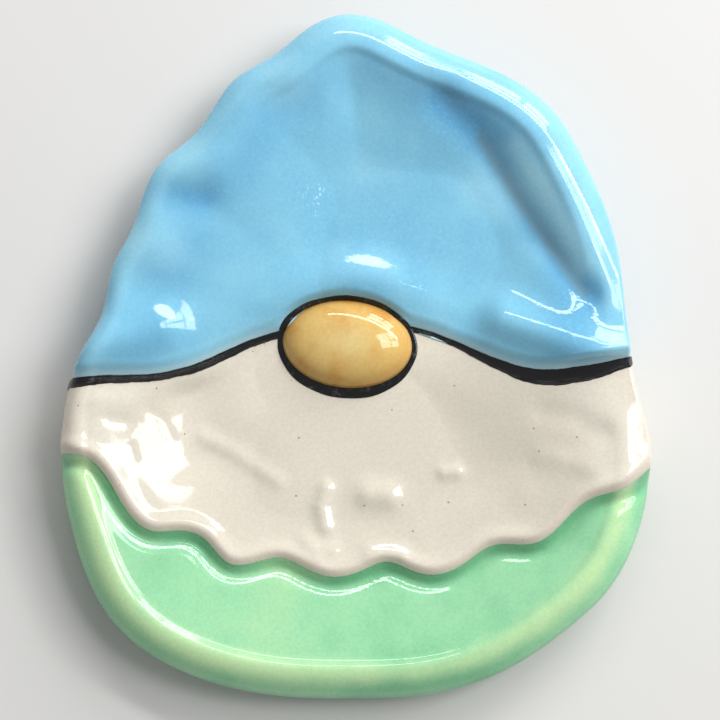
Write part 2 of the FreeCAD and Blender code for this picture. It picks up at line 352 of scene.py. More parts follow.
def turned_edge(t):
    """How far out and down the rim's edge has turned, from t = 0 on the rim to 1 where it is
    upright: a curve with three control points, 2t(1 - t) * the middle one + t^2 * the last."""
    middle, last = 2 * t * (1 - t), t**2
    return middle * 0.45 + last * EDGE_INSET, middle * 0.85 + last * EDGE_DROP


RING_POINTS, TOP_ROWS = 640, 112
top_shares = np.linspace(0, 1, TOP_ROWS) ** 0.8
dish_centre = np.array([0.0, 0.0])
around_base = resample(outline, np.where(outline[:, 1] < -10, 1.5, 0.8), RING_POINTS)
base_normal = outward(around_base)
base_inset = around_base - EDGE_INSET * base_normal
plan = ring_rows(base_inset, dish_centre, top_shares)
top_rows = np.dstack([plan, base_top(plan[..., 0], plan[..., 1])])
turn_out, turn_down = turned_edge(np.linspace(0, 1, 7)[1:, None])
edge_z = top_rows[-1, :, 2]
edge_rows = np.dstack([
    base_inset[None] + turn_out[..., None] * base_normal[None], edge_z[None] - turn_down])

# Below it the side draws in to the foot: its share of the outline is 1 - drawn_in * (1 - f)^1.6,
# with f the share of the height. The foot's middle is hollowed a little.
DRAWN_IN, FOOT_HOLLOW = 0.22, 0.35
f = np.linspace(1, 0, 16)[1:, None]
side_share = 1 - DRAWN_IN * (1 - f) ** 1.6
side_rows = np.dstack([
    side_share[..., None] * around_base[None], f * (edge_z[None] - EDGE_DROP)])
foot = np.linspace(1, 0, 7)[1:]
foot_plan = ring_rows((1 - DRAWN_IN) * around_base, dish_centre, foot)
foot_rise = FOOT_HOLLOW * ease((0.97 - foot) / 0.12)
foot_rows = np.dstack([foot_plan, np.broadcast_to(foot_rise[:, None], foot_plan.shape[:2])])
base_rows = np.concatenate([top_rows, edge_rows, side_rows, foot_rows])

# Where the glaze pools and where painted shade darkens the outer edge and the side, where it runs
# thin, which slab's glaze the side takes, and what is bare.
bx, by, bz = base_rows[..., 0], base_rows[..., 1], base_rows[..., 2]
on_top = np.arange(len(base_rows))[:, None] < TOP_ROWS
in_from_rim = np.where(on_top, read_field(from_outline, bx, by), 0.0)
out_of_beard = -read_field(from_beard_edge, bx, by)
rim_x, rim_y = around_base[:, 0], around_base[:, 1]
past_beard = rim_y - y_of(beard_edge, rim_x)
past_hat = rim_y - y_of(hat_edge, rim_x)
base_looks = {
    # The first part is glaze pooled along the beard's edge. The second is painted shade, darker on
    # the outer 1.2 mm of the rim and down the whole side.
    "pool_and_shade": np.where(on_top, 0.8 * ease((4.8 - out_of_beard) / 4.4), 0.0)
    + 0.45 * ease((1.2 - in_from_rim) / 1.2) * (~on_top | (in_from_rim < 1.2)),
    "thin": np.where(on_top, np.exp(-(((in_from_rim - 5.2) / 2.4) ** 2)), 0.0),
    "beard_zone": np.broadcast_to(ease((past_beard + 0.5) / 1.0), bx.shape),
    "hat_zone": np.broadcast_to(ease((past_hat + 0.5) / 1.0), bx.shape),
    "bare": ease((2.1 - bz + 0.25 * np.sin(np.arange(RING_POINTS) / 9.0)) / 0.5) * ~on_top,
}
base_piece = shell("base_clay", base_rows, base_looks)


def feed(tree, node, inputs):
    """Sets each of a node's inputs to its value, or links it where the value is a socket."""
    for key, value in inputs.items():
        if isinstance(value, bpy.types.NodeSocket):
            tree.links.new(value, node.inputs[key])
        else:
            node.inputs[key].default_value = value


def add_node(tree, kind, inputs=None, **settings):
    """A shader node of the given kind, with its settings and its inputs."""
    made = tree.nodes.new("ShaderNode" + kind)
    for key, value in settings.items():
        setattr(made, key, value)
    feed(tree, made, inputs or {})
    return made


def math_node(tree, operation, *values, clamp=False):
    """One sum on one or two values, such as ADD or MULTIPLY, held to 0 to 1 where clamp is set."""
    inputs = dict(enumerate(values))
    return add_node(tree, "Math", inputs, operation=operation, use_clamp=clamp).outputs[0]


def mix_colour(tree, factor, first, second, blend="MIX"):
    """first * (1 - factor) + second * factor, or for MULTIPLY the product mixed in like that."""
    return add_node(tree, "Mix", {0: factor, 6: first, 7: second},
                    data_type="RGBA", blend_type=blend).outputs[2]


def object_place(tree):
    """Each point's place on its own piece, in metres."""
    return add_node(tree, "TexCoord").outputs["Object"]


def noise(tree, place, scale, detail=3.0, roughness=0.55):
    """Soft noise from 0 to 1, with scale blobs to the metre. Each further octave, up to detail of
    them, is twice as fine and weaker by the roughness."""
    return add_node(tree, "TexNoise", {
        "Vector": place, "Scale": scale, "Detail": detail, "Roughness": roughness,
    }).outputs[0]


def cells(tree, place, scale):
    """Distance from the middle of the nearest of scattered cells, with scale cells to the metre."""
    inputs = {"Vector": place, "Scale": scale, "Randomness": 1.0}
    return add_node(tree, "TexVoronoi", inputs).outputs["Distance"]


def range_of(tree, value, low, high, to_low=0.0, to_high=1.0):
    """Eases from to_low to to_high while the value runs from low to high: 3t^2 - 2t^3."""
    return add_node(tree, "MapRange", {
        "Value": value, "From Min": low, "From Max": high, "To Min": to_low, "To Max": to_high,
    }, interpolation_type="SMOOTHSTEP").outputs[0]


# A runny glaze over white clay. It pools deep in hollows, breaks pale over edges, drifts in soft
# clouds, and holds fine bubbles where it is thick. On some pieces the pool and thin masks also
# carry painted shade and painted light, which show through the same deep and thin colours.
glaze_group = bpy.data.node_groups.new("runny glaze", "ShaderNodeTree")
for way, socket_names, kind in [
    ("INPUT", ("Thin colour", "Body colour", "Deep colour"), "NodeSocketColor"),
    ("INPUT", ("Thin", "Pool_and_shade", "Clouds", "Bubbles"), "NodeSocketFloat"),
    ("OUTPUT", ("Colour",), "NodeSocketColor"), ("OUTPUT", ("Height",), "NodeSocketFloat"),
]:
    for socket_name in socket_names:
        glaze_group.interface.new_socket(socket_name, in_out=way, socket_type=kind)
g = glaze_group
given = g.nodes.new("NodeGroupInput").outputs
place = object_place(g)
cloud = noise(g, place, 42, 2.0)
patch = noise(g, place, 150, 3.0)
grain = noise(g, place, 1500, 2.0, 0.7)
bubble = cells(g, place, 1050.0)
drift = math_node(g, "ADD", math_node(g, "MULTIPLY", math_node(g, "SUBTRACT", cloud, 0.5), 1.6),
                  math_node(g, "MULTIPLY", math_node(g, "SUBTRACT", patch, 0.5), 0.7))
drift = math_node(g, "MULTIPLY", drift, given["Clouds"])
depth = math_node(g, "ADD", given["Pool_and_shade"], drift, clamp=True)
edge = math_node(g, "SUBTRACT", given["Thin"], math_node(g, "MULTIPLY", drift, 0.6), clamp=True)
colour = mix_colour(g, depth, given["Body colour"], given["Deep colour"])
colour = mix_colour(g, edge, colour, given["Thin colour"])
pits = range_of(g, bubble, 0.05, 0.50, 1.0, 0.0)
patchy = range_of(g, cloud, 0.47, 0.62)
thick = math_node(g, "SUBTRACT", 1.0, given["Thin"], clamp=True)
where_thick = math_node(g, "MULTIPLY", thick, thick)
froth = math_node(g, "MULTIPLY", math_node(g, "MULTIPLY", pits, patchy),
                  math_node(g, "MULTIPLY", given["Bubbles"], where_thick))
colour = mix_colour(g, math_node(g, "MULTIPLY", froth, 0.35), colour, given["Thin colour"])
shade = range_of(g, grain, 0.3, 0.7, 0.955, 1.04)
grey = add_node(g, "CombineColor", {0: shade, 1: shade, 2: shade}).outputs[0]
colour = mix_colour(g, 1.0, colour, grey, "MULTIPLY")
height = math_node(g, "ADD", froth, math_node(g, "MULTIPLY", grain, 0.12))
feed(g, g.nodes.new("NodeGroupOutput"), {"Colour": colour, "Height": height})


def attribute(tree, name):
    """One of the piece's own masks, a value from 0 to 1 kept at each of its points."""
    return add_node(tree, "Attribute", attribute_name=name).outputs["Fac"]


def glaze(tree, thin, body, deep, thin_mask, pool_and_shade_mask, clouds, bubbles):
    """The runny glaze in three colours, as its colour and height sockets."""
    made = tree.nodes.new("ShaderNodeGroup")
    made.node_tree = glaze_group
    feed(tree, made, {
        "Thin colour": (*thin, 1), "Body colour": (*body, 1), "Deep colour": (*deep, 1),
        "Thin": thin_mask, "Pool_and_shade": pool_and_shade_mask, "Clouds": clouds, "Bubbles": bubbles})
    return made.outputs["Colour"], made.outputs["Height"]


def new_material(name):
    """An empty material and its node tree."""
    material = bpy.data.materials.new(name)
    material.use_nodes = True
    material.node_tree.nodes.clear()
    return material, material.node_tree


GLAZE_ROUGHNESS, GLASS_IOR = 0.07, 1.52


def glassy_surface(tree, colour, height, depth=0.00006, roughness=GLAZE_ROUGHNESS):
    """A glazed surface: one glassy skin over a coloured body, with fine relief in the skin, its
    depth in metres."""
    bump = add_node(tree, "Bump", {"Height": height, "Strength": 0.6, "Distance": depth})
    shader = add_node(tree, "BsdfPrincipled", {
        "Base Color": colour, "Roughness": roughness, "IOR": GLASS_IOR, "Normal": bump.outputs[0]})
    add_node(tree, "OutputMaterial", {0: shader.outputs[0]})


# Each glaze's colour where it is thin, as it is for the most part, and where it is deep.
BLUE = ((0.38, 0.72, 0.86), (0.23, 0.56, 0.745), (0.12, 0.38, 0.62))
CREAM = ((0.78, 0.68, 0.58), (0.76, 0.71, 0.60), (0.68, 0.62, 0.51))
GREEN = ((0.54, 0.80, 0.42), (0.33, 0.70, 0.40), (0.18, 0.52, 0.27))
DARK_CLAY, PALE_CLAY = (0.62, 0.55, 0.45, 1), (0.75, 0.69, 0.60, 1)

green_material, tree = new_material("green glaze")
green_colour, green_height = glaze(
    tree, *GREEN, attribute(tree, "thin"), attribute(tree, "pool_and_shade"), clouds=1.5, bubbles=0.3)
colour = mix_colour(tree, attribute(tree, "beard_zone"), green_colour, (*CREAM[1], 1))
colour = mix_colour(tree, attribute(tree, "hat_zone"), colour, (*BLUE[1], 1))
clay_grain = noise(tree, object_place(tree), 900, 4.0, 0.65)
bare = attribute(tree, "bare")
colour = mix_colour(tree, bare, colour, mix_colour(tree, clay_grain, DARK_CLAY, PALE_CLAY))
roughness = range_of(tree, bare, 0.0, 1.0, GLAZE_ROUGHNESS, 0.9)
glassy_surface(tree, colour, green_height, roughness=roughness)
base_piece.data.materials.append(green_material)
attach(base_piece, "root")
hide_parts("base_slab")

# ---------------------------------------------------------------- beard slab
# A thinner slab of the same clay laid across the middle while both were soft. Its front edge is
# cut in scallops and rubbed round; its back edge lies under the hat. It is glazed cream.

BEARD_THICKNESS = 2.0
beard_dents = [
    (((38, -12), (44, -13), (50, -17)), 2.6, -0.35),
    (((38, -21), (44, -21.5), (48, -24)), 2.4, 0.3), (((44, -20), (50, -16)), 2.2, -0.25),
    (((-6.2, -27.5), (-7.2, -31), (-6.4, -35)), 1.7, 0.62),
    (((-10, -38.5), (-7.5, -40.6), (-5, -40.0)), 1.8, 0.45),
    (((2.5, -28.6), (6.5, -28.9)), 2.9, 0.95),
    (((3, -40.5), (9, -40.7)), 2.0, 0.45), (((-31, -17), (-25, -20), (-16, -26)), 1.7, 0.34),
    (((18, -24.2), (20.5, -24.0)), 1.6, 0.5), (((-52, -9), (-46, -9), (-40, -8)), 4.0, 0.55),
    (((-50, -13.4), (-46.5, -14)), 1.3, -0.2), (((-45.6, -19), (-45, -21.5)), 0.9, -0.14),
    (((-42, -11.5), (-39.5, -13.5), (-38, -17)), 1.2, -0.17),
    (((-52, -17), (-49, -23)), 3.0, 0.22), (((-40, -29), (-31, -25)), 3.4, 0.15),
    (((28, -30), (33, -28)), 4.0, 0.3), (((14, -36), (22, -33)), 4.5, 0.3),
]


def slab_boundary(low_edge, high_edge=None, covered=0.0):
    """The plan of a slab laid on the dish, anticlockwise: its low edge from left to right, the
    outline up the right side, its high edge back, and the outline down the left side. Without a
    high edge it goes on round the tip. Where it goes below the hat it is drawn in by the covered
    amount. With it comes a flag for each point, 1 on the rim and 0 elsewhere, blurred a little."""
    inset = EDGE_INSET + covered * ease((outline[:, 1] - y_of(hat_edge, outline[:, 0])) / 1.5)
    rim = outline - inset[:, None] * outward(outline)
    held = rim[:, 1] > y_of(low_edge, rim[:, 0])
    if high_edge is not None:
        held &= rim[:, 1] < y_of(high_edge, rim[:, 0])
    before_tip = np.arange(len(rim)) < np.argmax(rim[:, 1])
    right, left = rim[held & before_tip], rim[held & ~before_tip]

    def across(edge, left_end, right_end):
        """Evenly spaced points along an edge, between the ends of the two sides."""
        x = np.linspace(left_end[0], right_end[0], 902)[1:-1]
        return np.stack([x, y_of(edge, x)], axis=1)

    # Each stretch of the plan, how closely its points are packed, and whether it is on the rim.
    parts = [(across(low_edge, left[-1], right[0]), 1.6, 0.0), (right, 1.0, 1.0), (left, 1.0, 1.0)]
    if high_edge is not None:
        parts.insert(2, (across(high_edge, left[0], right[-1])[::-1], 0.5, 0.0))
    line = np.vstack([stretch for stretch, _, _ in parts])
    weight = np.concatenate([np.full(len(stretch), closely) for stretch, closely, _ in parts])
    rim_flag = np.concatenate([np.full(len(stretch), flag) for stretch, _, flag in parts])
    packed = resample(line, weight, RING_POINTS)
    nearest = np.argmin(
        (packed[:, None, 0] - line[None, :, 0]) ** 2 + (packed[:, None, 1] - line[None, :, 1]) ** 2,
        axis=1)
    blur = np.array([1, 2, 3, 2, 1]) / 9
    return packed, sum(w * np.roll(rim_flag[nearest], s) for s, w in zip(range(-2, 3), blur))


SIDE_LAP = 0.6
SUNK_OUT, SUNK_DOWN = 0.12, 0.9


def laid_slab(name, plan_and_flags, centre, top, under, looks):
    """A slab laid over the base, between the given top and underside. On the rim its edge turns
    down, laps over the base's own edge and tucks in by 0.75 * t^3. Elsewhere it goes straight
    down into what it lies on, and then draws in."""
    boundary, on_rim = plan_and_flags
    inland = 1 - on_rim
    normal = outward(boundary, 2.0)
    plan = ring_rows(boundary, centre, top_shares)
    top_rows = np.dstack([plan, top(plan[..., 0], plan[..., 1])])
    edge_z = top_rows[-1, :, 2]
    t = np.linspace(0, 1, 7)[1:, None]
    rim_out, rim_down = turned_edge(t)
    out = on_rim * rim_out + inland * SUNK_OUT * t
    down = on_rim * rim_down + inland * SUNK_DOWN * t
    turn_rows = np.dstack([boundary[None] + out[..., None] * normal[None], edge_z[None] - down])
    t = np.linspace(0, 1, 6)[1:, None]
    side = edge_z - base_height(boundary[:, 0], boundary[:, 1]) - (EDGE_DROP - SIDE_LAP)
    tuck_out = on_rim * (EDGE_INSET - 0.75 * t**3) + inland * (SUNK_OUT - 0.4 * t)
    tuck_down = on_rim * (EDGE_DROP + side * t**0.7) + inland * (SUNK_DOWN + 0.4 * t)
    tuck_rows = np.dstack(
        [boundary[None] + tuck_out[..., None] * normal[None], edge_z[None] - tuck_down])
    below = ring_rows(boundary, centre, np.linspace(0.985, 0, 20))
    below_rows = np.dstack([below, under(below[..., 0], below[..., 1])])
    rows = np.concatenate([top_rows, turn_rows, tuck_rows, below_rows])
    return shell(name, rows, looks(rows[..., 0], rows[..., 1]))


SCALLOP_ROUND, SCALLOP_WIDTH = 0.9, 1.9
LIP_HEIGHT, LIP_WIDTH = 0.42, 1.5


def beard_top(x, y):
    """The base's height plus the slab's. Its edge is rubbed down by round * (1 - d / width)^2 at
    the distance d in from the scallops, behind a soft lip, exp(-((d - width) / lip's width)^2).
    Thumb dents and swells are added, which fade out towards the hat and the rim."""
    d = read_field(from_beard_edge, x, y)
    rounded = SCALLOP_ROUND * np.clip(1 - d / SCALLOP_WIDTH, 0, 1) ** 2
    lip = LIP_HEIGHT * np.exp(-(((d - SCALLOP_WIDTH) / LIP_WIDTH) ** 2))
    inland = ease((read_field(from_outline, x, y) - 1) / FADE_WIDTH)
    below_hat = ease(-read_field(from_hat_edge, x, y) / FADE_WIDTH)
    dents = all_folds(x, y, beard_dents)
    return base_height(x, y) + BEARD_THICKNESS - rounded + lip + inland * below_hat * dents


def beard_under(x, y):
    """The base's height, and a hair's breadth more, so that the two skins never cross."""
    return base_height(x, y) + 0.02


def beard_looks(x, y):
    """The glaze runs thin along the scallops and at the rim, and gathers in the middle."""
    d = read_field(from_beard_edge, x, y)
    rim = read_field(from_outline, x, y)
    return {
        "thin": np.clip(ease((3.2 - d) / 3.0) + 0.5 * ease((5.0 - rim) / 4.0), 0, 1),
        "pool_and_shade": 0.35 * ease((rim - 8) / 10),
    }


BEARD_BACK = 11.0
back_line = np.array([(-90.0, BEARD_BACK), (90.0, BEARD_BACK)])
beard_piece = laid_slab("beard_clay", slab_boundary(beard_edge, back_line, covered=0.5),
                        np.array([-2.0, 0.0]), beard_top, beard_under, beard_looks)

# The cream glaze lets the clay's few iron specks through and warms where it thins at the edge.
IRON_SPECK = (0.20, 0.15, 0.11, 1)
cream_material, tree = new_material("cream glaze")
cream_colour, cream_height = glaze(
    tree, *CREAM, attribute(tree, "thin"), attribute(tree, "pool_and_shade"), clouds=0.35, bubbles=0.05)
place = object_place(tree)
speck_size = range_of(tree, noise(tree, place, 310, 1.0), 0.36, 0.62, 0.0, 0.062)
speck_mask = math_node(tree, "LESS_THAN", cells(tree, place, 290.0), speck_size)
colour = mix_colour(
    tree, math_node(tree, "MULTIPLY", speck_mask, 0.7), cream_colour, IRON_SPECK)
glassy_surface(tree, colour, cream_height)
beard_piece.data.materials.append(cream_material)
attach(beard_piece, "root")
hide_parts("beard_slab")

# ---------------------------------------------------------------- hat slab
# The third slab, pulled out to a soft point and laid over the beard's back edge. It was pushed
# into folds by hand before the dish dried. It is glazed blue, which breaks almost white on edges.

HAT_THICKNESS = 3.4
NOSE_CENTRE = np.array([-1.8, 2.1])
NOSE_HALF = np.array([13.4, 9.1])
NOSE_TURN = math.radians(-5.0)
BRIM_ROUND, BRIM_WIDTH = 1.2, 3.2
NOSE_PRESS = 0.8
hat_corner_rolls = [
    (((30, 7.2), (36, 4.6), (44, 1.2), (54, -2.0)), 4.6, 2.7),
    (((-40, 5.2), (-46, 3.0), (-56, 0.4)), 4.8, 2.0),
]
# Where the blue breaks pale, with painted light on the slopes that face the light; where it lies
# deep, with painted shade in the valley and the fold; and painted shade down the valley's wall.
pale_and_lit_spots = [
    (((32.5, 42), (39, 31), (46, 18)), 2.6, 0.65), (((-17, 57), (-14, 56)), 6.0, 0.45),
    (((26, 34), (29, 32)), 5.0, 0.5), (((-38, 41), (-33, 39)), 4.5, 0.35),
    (((-45, 24), (-38, 21)), 5.0, 0.4), (((2, 38), (5, 37)), 4.0, 0.3),
    (((-3, 19.5), (7, 18)), 4.5, 0.35), (((38, 36), (44, 25)), 4.0, 0.25),
]
deep_and_shaded_spots = [(hat_valley, 3.2, 0.7), (((-43, 33), (-31, 31)), 3.0, 0.5)]
painted_shade_lines = [
    (((26, 44), (32, 34), (38.5, 24), (46, 12.5)), 1.5, 0.75), (((14, 58), (21, 51)), 1.6, 0.3)]


def nose_share(x, y):
    """How far out a point is in the nose's own oval: 0 at its centre and 1 at its foot."""
    c, s = math.cos(NOSE_TURN), math.sin(NOSE_TURN)
    dx, dy = x - NOSE_CENTRE[0], y - NOSE_CENTRE[1]
    return np.hypot((c * dx + s * dy) / NOSE_HALF[0], (c * dy - s * dx) / NOSE_HALF[1])


def hat_top(x, y):
    """The base's height plus the slab's, less round * (1 - d / width)^2.4 at the distance d in from
    the brim. Behind the brim the clay is rolled into a soft ridge, highest over the nose, and at
    both corners of the rim. Below the nose, away falls to 0 and the clay is pressed down."""
    d = read_field(from_hat_edge, x, y)
    rounded = BRIM_ROUND * np.clip(1 - d / BRIM_WIDTH, 0, 1) ** 2.4
    by_nose = np.exp(-(((x + 1) / 14.5) ** 2))
    ridge = (0.4 + 2.08 * by_nose) * np.exp(-(((d - 5.5 - 3.4 * by_nose) / 5.2) ** 2))
    rolled = (ridge + all_folds(x, y, hat_corner_rolls)) * ease((d + 0.5) / 3.5)
    away = ease((nose_share(x, y) - 0.96) / 0.26)
    pressed = NOSE_PRESS * (1 - away) * ease((d - 0.6) / 2.4)
    return base_height(x, y) + HAT_THICKNESS - rounded + rolled * away - pressed


def hat_under(x, y):
    """The base's height, and the beard's over it to just past the beard's back edge."""
    return base_height(x, y) + 0.03 + BEARD_THICKNESS * ease((BEARD_BACK + 1 - y) / 0.9)


def hat_looks(x, y):
    """The blue runs thin on the rim, and is painted paler towards the right as light falling there.
    It is thin along the brim and on the pale spots, which are partly painted light. It pools inside
    the rim and on the deep spots, which are partly painted shade. It wears through along the brim,
    where that pale colour is brightened as painted light against the shade of the rounded edge. A
    painted shade runs down the valley's wall."""
    d = read_field(from_hat_edge, x, y)
    rim = read_field(from_outline, x, y)
    # on_rim is thin glaze on the rim, made paler towards the right as painted light. The pale spots
    # add thin glaze on ridges and painted light on slopes that face the light.
    on_rim = ease((6.2 - rim) / 3.4) * (0.22 + 0.12 * ease((x + 12) / 14))
    thin = on_rim + all_folds(x, y, pale_and_lit_spots) + 0.45 * ease((4.5 - d) / 4)
    # The pool is glaze gathered inside the rim. On the deep spots it is glaze pooled in the valley
    # and the fold, together with painted shade.
    pool_and_shade = 0.35 * np.exp(-(((rim - 12) / 5) ** 2)) + 0.1 + all_folds(x, y, deep_and_shaded_spots)
    return {
        "thin": np.clip(thin, 0, 1),
        "pool_and_shade": np.clip(pool_and_shade, 0, 1),
        # The brim's edge is worn pale, and that pale colour is brightened as painted light against
        # the shade of the rounded edge.
        "worn_and_lit": ease((1.9 - d) / 1.7) * (0.25 + 0.75 * ease((np.abs(x + 2) - 12) / 8)),
        # Painted shade down the valley's wall.
        "painted_valley_shade": np.clip(all_folds(x, y, painted_shade_lines), 0, 1),
    }


hat_piece = laid_slab("hat_clay", slab_boundary(hat_edge), np.array([-2.0, 9.5]), hat_top,
                      hat_under, hat_looks)

# WORN_AND_LIT_BLUE is the brim's worn pale blue, brightened as painted light against the shade of
# the rounded edge. PAINTED_SHADE_BLUE is painted shade for the valley's wall.
WORN_AND_LIT_BLUE, PAINTED_SHADE_BLUE = (0.62, 0.84, 0.88, 1), (0.16, 0.27, 0.31, 1)
blue_material, tree = new_material("blue glaze")
colour, blue_height = glaze(
    tree, *BLUE, attribute(tree, "thin"), attribute(tree, "pool_and_shade"), clouds=0.6, bubbles=0.45)
# Mixed in here are the worn brim, brightened as painted light, and the painted shade of the
# valley's wall.
for mask, strength, tint in (("worn_and_lit", 0.6, WORN_AND_LIT_BLUE), ("painted_valley_shade", 0.8, PAINTED_SHADE_BLUE)):
    share = math_node(tree, "MULTIPLY", attribute(tree, mask), strength)
    colour = mix_colour(tree, share, colour, tint)
glassy_surface(tree, colour, blue_height, depth=0.00004)
hat_piece.data.materials.append(blue_material)
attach(hat_piece, "root")
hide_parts("hat_slab")

# ---------------------------------------------------------------- nose
# A ball of clay flattened between the palms and pressed onto the seam between hat and beard. It
# is glazed in a translucent ochre that gathers round its foot.

NOSE_FOOT, NOSE_TOP, NOSE_SUNK = 7.0, 12.4, 1.6


def nose_plan(u, v):
    """A point at u, v in the nose's own axes, where the foot is at radius 1, in the dish's plan."""
    x, y = u * NOSE_HALF[0], v * NOSE_HALF[1]
    c, s = math.cos(NOSE_TURN), math.sin(NOSE_TURN)
    return NOSE_CENTRE[0] + c * x - s * y, NOSE_CENTRE[1] + s * x + c * y


# A square grid a, b is drawn in to a disc, u = a * (1 - b^2 / 2)^0.5 and v likewise. The dome over
# it rises as (1 - r^2.6)^0.5, with a slight unevenness, and a flat underside is sunk in the clay.
side = np.linspace(-1, 1, 221)
a, b = np.meshgrid(side, side)
u, v = a * np.sqrt(1 - b**2 / 2), b * np.sqrt(1 - a**2 / 2)
r = np.clip(np.hypot(u, v), 0, 1)
nx, ny = nose_plan(u, v)
dome = NOSE_FOOT + (NOSE_TOP - NOSE_FOOT) * np.sqrt(np.clip(1 - r**2.6, 0, 1))
dome = dome + 0.10 * (1 - r**2) * np.sin(u * 3.1 + 0.6) * np.cos(v * 2.3)
n = len(side)
upper = np.stack([nx, ny, dome], axis=-1).reshape(-1, 3)
lower = np.stack([nx, ny, np.full_like(nx, NOSE_FOOT - NOSE_SUNK)], axis=-1).reshape(-1, 3)
cell = (np.arange(n - 1)[:, None] * n + np.arange(n - 1)[None, :]).ravel()
quads = np.stack([cell, cell + 1, cell + n + 1, cell + n], axis=-1)
rim_path = np.concatenate([np.arange(n - 1), np.arange(n - 1) * n + n - 1,
                           n * n - 1 - np.arange(n - 1), (n - 1 - np.arange(n - 1)) * n])
ahead = np.roll(rim_path, -1)
wall_quads = np.stack([rim_path + n * n, ahead + n * n, ahead, rim_path], axis=-1)
nose_quads = np.vstack([quads, (quads + n * n)[:, ::-1], wall_quads])
nose_looks = {"gather": np.tile(ease((r - 0.62) / 0.36).ravel(), 2),
              "crown": np.tile(np.exp(-((r / 0.42) ** 2)).ravel(), 2)}
nose_piece = make_piece("nose_ball", np.vstack([upper, lower]), nose_quads, attributes=nose_looks)

OCHRE = ((0.78, 0.64, 0.30), (0.72, 0.48, 0.15), (0.64, 0.32, 0.07))
ochre_material, tree = new_material("ochre glaze")
blotches = range_of(tree, noise(tree, object_place(tree), 170, 2.0), 0.42, 0.68, 0.0, 0.6)
warm = math_node(tree, "ADD", math_node(tree, "MULTIPLY", attribute(tree, "gather"), 0.55),
                 blotches, clamp=True)
pale = math_node(tree, "MULTIPLY", attribute(tree, "crown"), 0.6)
ochre_colour, ochre_height = glaze(tree, *OCHRE, pale, warm, clouds=0.3, bubbles=0.15)
glassy_surface(tree, ochre_colour, ochre_height)
nose_piece.data.materials.append(ochre_material)
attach(nose_piece, "root")
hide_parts("nose")

# ---------------------------------------------------------------- nose line
# Black slip brushed round the nose's foot once the clay was dry. It is thicker below, where the
# brush was loaded, and thins out over the top.


def seen_top(x, y):
    """Height of whatever slab shows at a point, from the hat's edge to the green front."""
    on_hat = read_field(from_hat_edge, x, y) > 0
    on_beard = read_field(from_beard_edge, x, y) > 0
    return np.where(on_hat, np.maximum(hat_top(x, y), beard_top(x, y)),
                    np.where(on_beard, beard_top(x, y), base_top(x, y)))


LINE_SUNK, TURN_LENGTH, NEARBY = 0.35, 2.2, 0.3


def brushed(plan, lift):
    """Rings round a brushed line. plan holds rows of points across it. Its top is a low arch,
    lift * (1 - t^4)^0.5 for t from -1 to 1 across, and its underside is sunk into the clay. What
    runs past the rim is carried back to it along the slope of the distance, and turned down the
    dish's side as the slabs are, with the arch then facing out instead of up."""
    x, y = plan[..., 0], plan[..., 1]
    over = np.clip(EDGE_INSET - read_field(from_outline, x, y), 0, None)
    slope = np.stack([
        read_field(from_outline, x + NEARBY, y) - read_field(from_outline, x - NEARBY, y),
        read_field(from_outline, x, y + NEARBY) - read_field(from_outline, x, y - NEARBY)], axis=-1)
    inward = slope / (np.hypot(slope[..., 0], slope[..., 1]) + 1e-9)[..., None]
    out, down = turned_edge(np.clip(over / TURN_LENGTH, 0, 1))
    down = down + np.clip(over - TURN_LENGTH, 0, None)
    lip = plan + inward * over[..., None]
    ground = seen_top(lip[..., 0], lip[..., 1]) - down
    across = np.linspace(-1, 1, plan.shape[1])
    arch = lift * np.sqrt(1 - across**4)
    upright = np.clip(over / 1.2, 0, 1)
    top = lip + inward * (-out - arch * upright)[..., None]
    low = lip + inward * (LINE_SUNK * upright - out)[..., None]
    upper = np.dstack([top, ground + arch * (1 - upright) - 0.02])
    lower = np.dstack([low, ground - LINE_SUNK * (1 - upright)])[:, ::-1][:, 1:-1]
    return np.concatenate([upper, lower], axis=1)


def hoop(name, rings):
    """A closed hoop from rings of points, each joined to the next and the last to the first."""
    count, around = rings.shape[:2]
    at = np.arange(count)[:, None] * around + np.arange(around)[None, :]
    beside, beyond = np.roll(at, -1, axis=1), np.roll(at, -1, axis=0)
    quads = np.stack([at, beside, np.roll(beside, -1, axis=0), beyond], axis=-1).reshape(-1, 4)
    return make_piece(name, rings.reshape(-1, 3), quads)


# The stroke's width round the nose: 1.05 - 0.28 * sin, 0.85 mm more at the bottom, and a wobble.
# It starts a little inside the nose's foot, so that no clay shows between them.
round_nose = np.linspace(0, 2 * np.pi, 360, endpoint=False)
foot_line = np.stack(nose_plan(np.cos(round_nose), np.sin(round_nose)), axis=1)
line_normal = outward(foot_line, 2.0)
wobble = 0.06 * np.sin(5 * round_nose + 0.5) + 0.04 * np.sin(11 * round_nose + 2.0)
load = np.clip(-np.sin(round_nose), 0, 1) ** 2
line_width = 1.05 - 0.28 * np.sin(round_nose) + 0.85 * load + wobble
step = np.linspace(0, 1, 15)
ring_plan = (foot_line[:, None] - 0.35 * line_normal[:, None]
             + (step[None, :] * (line_width[:, None] + 0.3))[..., None] * line_normal[:, None])
nose_line_piece = hoop("nose_stroke", brushed(ring_plan, 0.32))

BLACK, SMEARED_BLACK = (0.008, 0.008, 0.009, 1), (0.055, 0.055, 0.06, 1)
black_material, tree = new_material("black slip")
smear = noise(tree, object_place(tree), 700, 3.0)
colour = mix_colour(tree, range_of(tree, smear, 0.52, 0.75), BLACK, SMEARED_BLACK)
glassy_surface(tree, colour, smear, depth=0.00004, roughness=0.12)
nose_line_piece.data.materials.append(black_material)
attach(nose_line_piece, "root")
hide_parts("nose_line")

# ---------------------------------------------------------------- brim lines
# The same black slip brushed along the hat's edge, on the left and on the right of the nose. The
# brush ran dry along its lower side, where the hairs left paler streaks.

